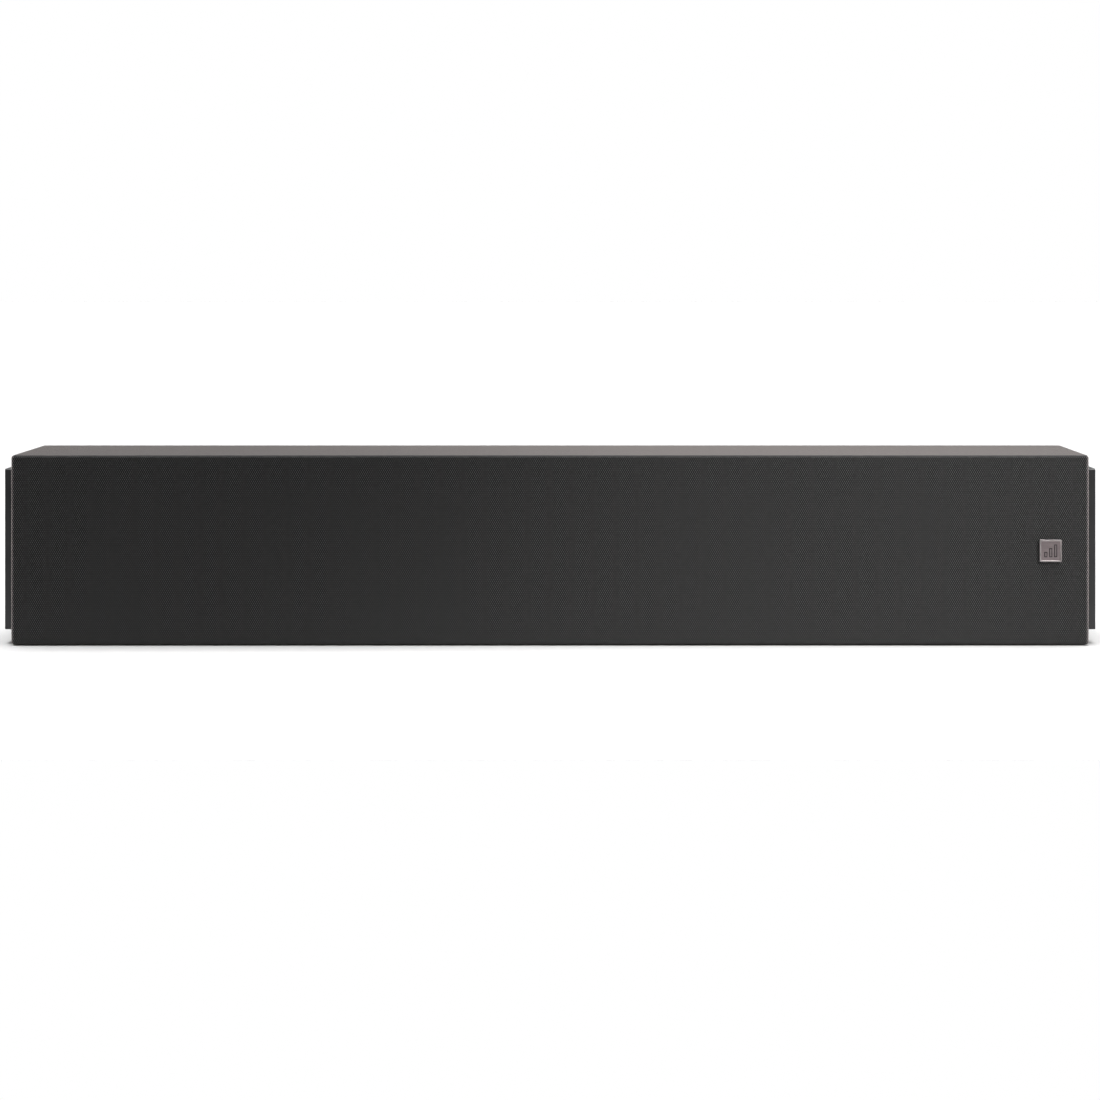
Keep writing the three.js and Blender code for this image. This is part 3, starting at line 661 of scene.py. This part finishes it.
cap = {
    "gap": 0.3 * mm,  # to the cloth
    "corner": 1.2 * mm,
    "edge": 0.3 * mm,
    "rootInset": 5.5 * mm,  # the root goes through the cloth's end opening
    "rootDepth": 1.3 * mm,
    "drop": 1.2 * mm,  # the lower edge hangs this much below the CAD plate's
}


def makeCap(node, side):
    low, high = (Vector(corner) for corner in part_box(node))
    low.z -= cap["drop"]
    inner = side * (clothSize.x / 2 + cap["gap"])
    outer = high.x if side > 0 else low.x
    piece = startBox(node + "_plate", (min(inner, outer), low.y, low.z), (max(inner, outer), high.y, high.z))
    editWith(piece, edges=lambda edge: alongAxis(edge, 0))
    bpy.ops.mesh.bevel(offset=cap["corner"], segments=8, affect="EDGES")
    stopEdit()
    editWith(piece, faces=lambda face: facesTo(face, 0, -side))
    bpy.ops.mesh.inset(thickness=cap["rootInset"])
    bpy.ops.mesh.extrude_region_move(TRANSFORM_OT_translate={"value": (-side * cap["rootDepth"], 0, 0)})
    stopEdit()
    editWith(piece, edges=lambda edge: any(facesTo(face, 0, side) for face in edge.link_faces)
             and not all(facesTo(face, 0, side) for face in edge.link_faces))
    bpy.ops.mesh.bevel(offset=cap["edge"], segments=4, affect="EDGES")
    stopEdit()
    smoothPiece(piece, 30)
    paint(piece, finishes["cap"])
    place(piece, "cabinet", node, slot="end_cap_black")


makeCap("left_end_cap", -1)
makeCap("right_end_cap", 1)
print("the end caps are on")


# badge

badge = {
    "trim": 0.9 * mm,  # off the CAD plate's right and upper edges
    "corner": 0.7 * mm,
    "rim": 1.0 * mm,
    "rimSlope": 0.15 * mm,
    "step": 0.35 * mm,  # from the rim down to the face
    "faceInset": 0.3 * mm,
    "bevel": 0.15 * mm,
    "behindCloth": 0.3 * mm,
    "barWidth": 2.4 * mm,
    "barGap": 1.3 * mm,
    "barHeights": (4.0 * mm, 6.8 * mm, 9.6 * mm),
    "groove": 0.7 * mm,  # the dark outline of each bar
    "grooveDepth": 0.25 * mm,
    "barProud": 0.05 * mm,
    "middleProud": 0.1 * mm,  # the bright middle of each bar, above its outline
}


def makeBadge():
    low, high = (Vector(corner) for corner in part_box("front_badge"))
    high -= Vector((badge["trim"], 0, badge["trim"]))
    back = clothLow.y - badge["behindCloth"]
    face = low.y + badge["step"]
    piece = startBox("badgePlate", low, (high.x, back, high.z))
    editWith(piece, faces=lambda side: facesTo(side, 1, -1))
    bpy.ops.mesh.inset(thickness=badge["rim"])
    bpy.ops.mesh.inset(thickness=badge["rimSlope"])
    bpy.ops.transform.translate(value=(0, badge["step"], 0))
    bpy.ops.mesh.inset(thickness=badge["faceInset"])
    stopEdit()
    editWith(piece, edges=lambda edge: alongAxis(edge, 1) and edge.calc_length() > mm)
    bpy.ops.mesh.bevel(offset=badge["corner"], segments=5, affect="EDGES")
    stopEdit()
    editWith(piece, edges=lambda edge: max(v.co.y for v in edge.verts) < low.y + closeEnough
             and not all(facesTo(side, 1, -1) for side in edge.link_faces))
    bpy.ops.mesh.bevel(offset=badge["bevel"], segments=3, affect="EDGES")
    stopEdit()
    smoothPiece(piece, 20)
    paint(piece, finishes["badge"])
    piece.data.materials.append(finishes["badgeRim"])
    for side in piece.data.polygons:
        if side.center.y < face - closeEnough:
            side.material_index = 1
    place(piece, "cabinet", "front_badge", slot="badge_metal")

    middleX, middleZ = (low.x + high.x) / 2, (low.z + high.z) / 2
    step = badge["barWidth"] + badge["barGap"]
    baseline = middleZ - max(badge["barHeights"]) / 2
    for index, tall in enumerate(badge["barHeights"]):
        x = middleX + (index - 1) * step
        bar = startBox("badgeBar" + str(index + 1),
                       (x - badge["barWidth"] / 2, face - badge["barProud"], baseline),
                       (x + badge["barWidth"] / 2, face + badge["grooveDepth"], baseline + tall))
        editWith(bar, faces=lambda side: facesTo(side, 1, -1))
        bpy.ops.mesh.inset(thickness=badge["groove"])
        bpy.ops.transform.translate(value=(0, -badge["middleProud"], 0))
        stopEdit()
        smoothPiece(bar, 20)
        paint(bar, finishes["badgeInk"])
        bar.data.materials.append(finishes["badge"])
        for side in bar.data.polygons:
            if side.center.y < face - badge["barProud"] - badge["middleProud"] + closeEnough:
                side.material_index = 1
        place(bar, "cabinet", slot="badge_metal")


makeBadge()
print("the badge is on")


# rear pieces that keep the shape of their CAD node, with every sharp edge broken

brokenEdges = {
    "rear_cover": 0.45 * mm,
    "connection_tray": 0.35 * mm,
    "rear_heat_sink": 0.2 * mm,
    "left_wall_hanger": 0.2 * mm,
    "right_wall_hanger": 0.2 * mm,
    "mains_inlet": 0.3 * mm,
    "av_socket": 0.15 * mm,
    "network_socket": 0.2 * mm,
    "service_socket": 0.15 * mm,
}

for node, width in brokenEdges.items():
    piece = softenedCopy(node, width)
    paint(piece, finishes[slotFinish[slotOfNode[node]]])
    place(piece, "cabinet", node, slot=slotOfNode[node])
print("the rear mouldings are softened")


# feet

foot = {
    "edge": 0.35 * mm,
    "grooveWidth": 1.2 * mm,
    "grooveDepth": 0.35 * mm,
    "grooveInset": 3 * mm,
    "sides": 64,
}


def makeFoot(node):
    low, high = (Vector(corner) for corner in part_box(node))
    middle = (low + high) / 2
    radius = (high.x - low.x) / 2
    piece = startRod(node + "_pad", middle, radius, high.z - low.z, axis="Z", sides=foot["sides"])
    editWith(piece, faces=lambda face: facesTo(face, 2, -1))
    bpy.ops.mesh.inset(thickness=foot["grooveInset"])
    bpy.ops.mesh.inset(thickness=foot["grooveWidth"])
    stopEdit()
    inner = radius - foot["grooveInset"]
    editWith(piece, faces=lambda face: facesTo(face, 2, -1) and len(face.verts) == 4
             and (face.calc_center_median() - Vector((middle.x, middle.y, low.z))).length < inner)
    bpy.ops.mesh.extrude_region_move(TRANSFORM_OT_translate={"value": (0, 0, foot["grooveDepth"])})
    stopEdit()
    editWith(piece, edges=lambda edge: all(abs(v.co.z - low.z) < closeEnough for v in edge.verts)
             and abs((edge.verts[0].co.xy - middle.xy).length - radius) < closeEnough)
    bpy.ops.mesh.bevel(offset=foot["edge"], segments=3, affect="EDGES")
    stopEdit()
    smoothPiece(piece, 30)
    paint(piece, finishes["rubber"])
    place(piece, "cabinet", node, slot="foot_rubber")


for row in ("front", "rear"):
    for side in ("left", "right"):
        makeFoot(row + "_" + side + "_foot")
print("the feet are on")


# push buttons, each with a raised sign

button = {
    "capRadius": 5 * mm,
    "capLength": 3 * mm,  # from the flange to the cap's end
    "flangeRadius": 6.4 * mm,
    "flangeDepth": 1.2 * mm,
    "stemRadius": 1.5 * mm,
    "edge": 0.45 * mm,
    "dishInset": 0.9 * mm,
    "dish": 0.25 * mm,
    "signHeight": 0.2 * mm,
    "signStroke": 0.7 * mm,
    "signSize": 4.4 * mm,
    "signRoot": 0.05 * mm,  # how deep a sign sits in its button
    "signEdge": 0.08 * mm,
    "ringRadius": 2.45 * mm,
    "ringStroke": 0.28 * mm,
    "ringProud": 0.03 * mm,
}


def makeButton(node):
    low, high = (Vector(corner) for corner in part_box(node))
    middle = (low + high) / 2
    flangeBack = high.y - button["capLength"]
    piece = startRod(node + "_cap", (middle.x, flangeBack - button["flangeDepth"] / 2, middle.z),
                     button["flangeRadius"], button["flangeDepth"], sides=48)
    editWith(piece, faces=lambda face: facesTo(face, 1, 1))
    bpy.ops.mesh.inset(thickness=button["flangeRadius"] - button["capRadius"])
    bpy.ops.mesh.extrude_region_move(TRANSFORM_OT_translate={"value": (0, high.y - flangeBack, 0)})
    stopEdit()
    editWith(piece, edges=lambda edge: all(abs(v.co.y - high.y) < closeEnough for v in edge.verts))
    bpy.ops.mesh.bevel(offset=button["edge"], segments=4, affect="EDGES")
    stopEdit()
    editWith(piece, faces=lambda face: facesTo(face, 1, 1)
             and face.calc_center_median().y > high.y - closeEnough)
    bpy.ops.mesh.inset(thickness=button["dishInset"])
    bpy.ops.transform.translate(value=(0, -button["dish"], 0))
    stopEdit()
    editWith(piece, faces=lambda face: facesTo(face, 1, -1) and len(face.verts) > 8)
    bpy.ops.mesh.inset(thickness=button["flangeRadius"] - button["stemRadius"])
    bpy.ops.mesh.extrude_region_move(
        TRANSFORM_OT_translate={"value": (0, low.y - (flangeBack - button["flangeDepth"]), 0)})
    stopEdit()
    smoothPiece(piece, 30)
    paint(piece, finishes["button"])
    place(piece, node, node, slot="button_black")
    return Vector((middle.x, high.y - button["dish"], middle.z))


def makeSign(name, body, parts):
    # parts are boxes as (width, height, right, up) about the middle of the button
    for index, (width, height, right, up) in enumerate(parts):
        spot = signSpots[body]
        bar = startBox(name + "_" + str(index + 1),
                       (spot.x + right - width / 2, spot.y - button["signRoot"], spot.z + up - height / 2),
                       (spot.x + right + width / 2, spot.y + button["signHeight"], spot.z + up + height / 2))
        editWith(bar, edges=lambda edge: any(facesTo(face, 1, 1) for face in edge.link_faces))
        bpy.ops.mesh.bevel(offset=button["signEdge"], segments=2, affect="EDGES")
        stopEdit()
        smoothPiece(bar, 30)
        paint(bar, finishes["sign"])
        place(bar, body, slot="button_black")


signSpots = {node: makeButton(node) for node in
             ("source_button", "volume_down_button", "volume_up_button", "power_button")}

size, stroke = button["signSize"], button["signStroke"]
half, lift = (size - stroke) / 2, (size + stroke) / 4 + 0.02 * mm  # the plus sign's upright, in two halves
lineWidth, lineStep = 0.8 * size, 1.2 * mm
makeSign("volume_down_sign", "volume_down_button", [(size, stroke, 0, 0)])
makeSign("volume_up_sign", "volume_up_button",
         [(size, stroke, 0, 0), (stroke, half, 0, lift), (stroke, half, 0, -lift)])
makeSign("source_sign", "source_button",
         [(lineWidth, stroke, 0, lineStep), (lineWidth, stroke, 0, 0), (lineWidth, stroke, 0, -lineStep)])
makeSign("power_sign", "power_button", [(stroke, 0.7 * size, 0, 0)])


def makePowerRing():
    spot = signSpots["power_button"]
    deselectAll()
    bpy.ops.mesh.primitive_torus_add(location=(spot.x, spot.y + button["ringProud"], spot.z),
                                     rotation=(math.pi / 2, 0, 0), major_radius=button["ringRadius"],
                                     minor_radius=button["ringStroke"], major_segments=48, minor_segments=10)
    ring = bpy.context.object
    ring.name = ring.data.name = "power_sign_ring"
    bpy.ops.object.transform_apply(location=True, rotation=True, scale=True)
    smoothPiece(ring, 60)
    paint(ring, finishes["sign"])
    place(ring, "power_button", slot="button_black")


makePowerRing()
print("the buttons are in")


# contacts in the sockets

contacts = {
    "av_socket": {"count": 10, "pitch": 1.0 * mm, "width": 0.5 * mm, "up": 0.66 * mm, "thick": 0.14 * mm},
    "service_socket": {"count": 4, "pitch": 2.4 * mm, "width": 1.2 * mm, "up": 0.24 * mm, "thick": 0.16 * mm},
    "network_socket": {"count": 8, "pitch": 1.02 * mm, "width": 0.5 * mm, "up": -3.9 * mm, "thick": 0.5 * mm},
}
contactLength, contactSunk = 5 * mm, 2.4 * mm


def makeContacts(node):
    low, high = (Vector(corner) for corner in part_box(node))
    middle = (low + high) / 2
    row = contacts[node]
    rear = high.y - contactSunk
    upper = middle.z + row["up"]
    first = startBox(node + "_contacts", (-row["width"] / 2, rear - contactLength, upper - row["thick"] / 2),
                     (row["width"] / 2, rear, upper + row["thick"] / 2))
    editWith(first, edges=lambda edge: alongAxis(edge, 0)
             and max(v.co.y for v in edge.verts) > rear - closeEnough)
    bpy.ops.mesh.bevel(offset=row["thick"] * 0.45, segments=2, affect="EDGES")
    stopEdit()
    start = middle.x - (row["count"] - 1) / 2 * row["pitch"]
    others = [copyPiece(first, node + "_contact" + str(index), (start + index * row["pitch"], 0, 0))
              for index in range(1, row["count"])]
    makeActive(first)
    first.location.x = start
    bpy.ops.object.transform_apply(location=True, rotation=True, scale=True)
    joinPieces(first, *others)
    smoothPiece(first, 30)
    paint(first, finishes["contact"])
    place(first, "cabinet", slot="socket_metal")


for node in contacts:
    makeContacts(node)


# the sub out jack: a turned barrel, with a coloured insulator around its hollow contact

jack = {
    "edge": 0.25 * mm,
    "nutRadius": 5.6 * mm,
    "nutThickness": 1.6 * mm,
    "nutWall": 0.9 * mm,
    "nutBack": 7.9 * mm,  # from the barrel's end
    "ringOuter": 3.3 * mm,
    "ringInner": 1.9 * mm,
    "ringThickness": 0.5 * mm,
}


def makeJack():
    low, high = (Vector(corner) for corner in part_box("sub_out_jack"))
    middle = (low + high) / 2
    barrel = softenedCopy("sub_out_jack", jack["edge"])
    paint(barrel, finishes["socketShell"])
    place(barrel, "cabinet", "sub_out_jack", slot="socket_metal")

    nutMiddle = high.y - jack["nutBack"] + jack["nutThickness"] / 2
    nut = startRod("jackNut", (middle.x, nutMiddle, middle.z), jack["nutRadius"], jack["nutThickness"], sides=6)
    editWith(nut, faces=lambda face: abs(face.normal.y) > squarely)
    bpy.ops.mesh.inset(thickness=jack["nutWall"])
    bpy.ops.mesh.bridge_edge_loops()
    stopEdit()
    smoothPiece(nut, 30)
    paint(nut, finishes["zinc"])
    place(nut, "cabinet", slot="socket_metal")

    ring = startRod("jackInsulator", (middle.x, high.y, middle.z), jack["ringOuter"], jack["ringThickness"])
    editWith(ring, faces=lambda face: abs(face.normal.y) > squarely)
    bpy.ops.mesh.inset(thickness=jack["ringOuter"] - jack["ringInner"])
    bpy.ops.mesh.bridge_edge_loops()
    stopEdit()
    smoothPiece(ring, 30)
    paint(ring, finishes["insulator"])
    place(ring, "cabinet", slot="socket_black")


makeJack()
print("the sockets are finished")


# the cover's screws: pan heads with a cross recess, in their seats

screw = {
    "radius": 3.2 * mm,
    "head": 1.5 * mm,
    "dome": 0.7 * mm,
    "slotLength": 3.4 * mm,
    "slotWidth": 0.8 * mm,
    "slotDepth": 0.9 * mm,
    "seatDepth": 1.8 * mm,
    "seatGap": 0.02 * mm,
    "columns": (125 * mm, 255 * mm),
    "inset": 9.75 * mm,  # from the cover's edge
}


def makeScrews():
    low, high = (Vector(corner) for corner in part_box("rear_cover"))
    seat = high.y - screw["seatDepth"]
    first = startRod("coverScrew", (0, seat + screw["seatGap"] + screw["head"] / 2, 0),
                     screw["radius"], screw["head"], sides=32)
    editWith(first, edges=lambda edge: all(v.co.y > seat + screw["head"] for v in edge.verts))
    bpy.ops.mesh.bevel(offset=screw["dome"], segments=5, affect="EDGES")
    stopEdit()
    top = seat + screw["head"]
    halfLength, halfWidth = screw["slotLength"] / 2, screw["slotWidth"] / 2
    level = startBox("crossCutter", (-halfLength, top - screw["slotDepth"], -halfWidth),
                     (halfLength, top + mm, halfWidth))
    # not quite as deep, so the two floors don't coincide
    upright = startBox("crossCutterUpright", (-halfWidth, top - screw["slotDepth"] * 0.999, -halfLength),
                       (halfWidth, top + mm, halfLength))
    for tool in (level, upright):
        cut = first.modifiers.new("cross", "BOOLEAN")
        cut.operation = "DIFFERENCE"
        cut.object = tool
        applyAll(first)
        bpy.data.objects.remove(tool)
    smoothPiece(first)
    paint(first, finishes["screw"])
    middleX = (low.x + high.x) / 2
    columns = [*screw["columns"], (high.x - low.x) / 2 - screw["inset"]]
    spots = [(middleX + side * x, 0, z) for x in columns for side in (-1, 1)
             for z in (low.z + screw["inset"], high.z - screw["inset"])]
    for count, spot in enumerate(spots, start=1):
        made = copyPiece(first, "coverScrew" + str(count), spot)
        place(made, "cabinet", slot="plate_steel")
    bpy.data.objects.remove(first)


makeScrews()
print("the screws are in")
